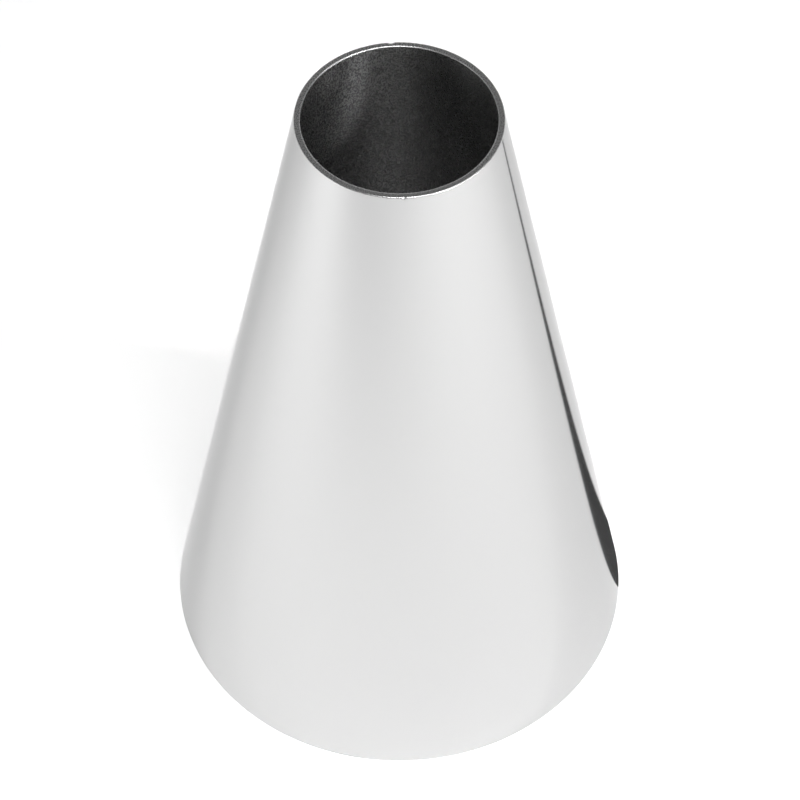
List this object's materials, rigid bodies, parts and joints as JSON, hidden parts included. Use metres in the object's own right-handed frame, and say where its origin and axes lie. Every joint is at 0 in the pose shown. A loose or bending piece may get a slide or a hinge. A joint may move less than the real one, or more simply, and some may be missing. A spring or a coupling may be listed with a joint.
{
  "type": "piping nozzle",
  "caption": "Plain round piping nozzle: an open cone of thin polished stainless sheet, rolled and welded along one seam, that shapes icing pressed out of a bag.",
  "frame": {"origin": "centre of the foot, on the surface that the nozzle stands on", "axes": "+Z along the cone's axis from the wide foot to the narrow tip, +Y towards the welded seam"},
  "size_m": [0.034, 0.034, 0.052],
  "materials": {
    "stainless_sheet": "rolled stainless sheet, bright polished outside, mill finish inside",
    "weld_metal": "fused stainless, polished flush outside, as welded inside"
  },
  "bodies": {
    "root": {"cone_wall": "stainless_sheet", "seam_weld": "weld_metal"}
  },
  "joints": []
}
